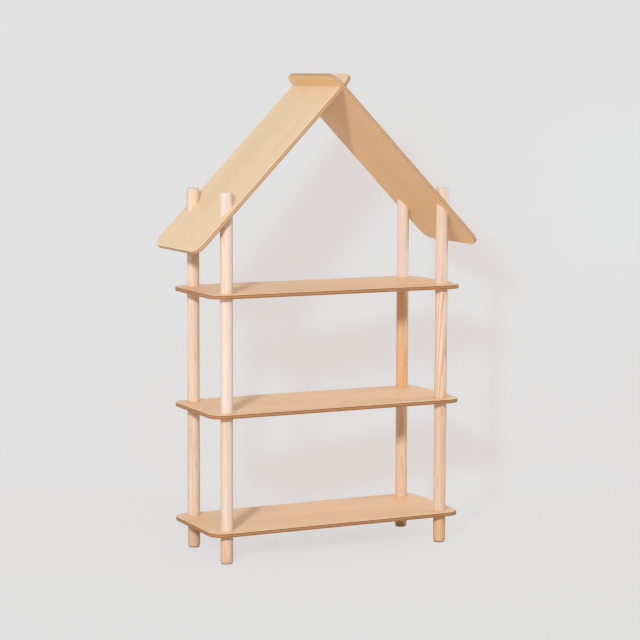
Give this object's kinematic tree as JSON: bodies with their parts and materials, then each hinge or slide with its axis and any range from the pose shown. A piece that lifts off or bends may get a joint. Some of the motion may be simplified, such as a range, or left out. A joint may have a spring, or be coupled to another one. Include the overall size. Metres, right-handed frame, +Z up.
{
  "type": "house shaped bookcase",
  "caption": "Free-standing open bookcase shaped like a house: round posts carry board shelves and a pitched roof of crossed boards.",
  "frame": {"origin": "on the floor, under the middle of the shelves", "axes": "+Z up, +X to the right along the shelves' width, +Y to the back, so the front faces -Y"},
  "size_m": [0.9082, 0.325, 1.3878],
  "materials": {
    "shelf_board": "pale birch plywood, clear satin lacquer",
    "roof_board": "pale birch plywood, clear satin lacquer",
    "post_wood": "pale pine, clear satin lacquer",
    "dowel_wood": "plain beech",
    "stud_steel": "zinc plated",
    "insert_brass": "plain"
  },
  "bodies": {
    "root": {"bottom_shelf": "shelf_board", "middle_shelf": "shelf_board", "top_shelf": "shelf_board", "left_roof_panel": "roof_board", "right_roof_panel": "roof_board", "front_left_foot": "post_wood", "front_right_foot": "post_wood", "back_left_foot": "post_wood", "back_right_foot": "post_wood", "front_left_lower_post": "post_wood", "front_right_lower_post": "post_wood", "back_left_lower_post": "post_wood", "back_right_lower_post": "post_wood", "front_left_middle_post": "post_wood", "front_right_middle_post": "post_wood", "back_left_middle_post": "post_wood", "back_right_middle_post": "post_wood", "front_left_upper_post": "post_wood", "front_right_upper_post": "post_wood", "back_left_upper_post": "post_wood", "back_right_upper_post": "post_wood", "front_left_cap": "post_wood", "front_right_cap": "post_wood", "back_left_cap": "post_wood", "back_right_cap": "post_wood", "bottom_shelf_studs": "stud_steel", "middle_shelf_studs": "stud_steel", "top_shelf_studs": "stud_steel", "foot_inserts": "insert_brass", "lower_post_inserts": "insert_brass", "middle_post_inserts": "insert_brass", "upper_post_inserts": "insert_brass", "roof_dowels": "dowel_wood"}
  },
  "joints": []
}
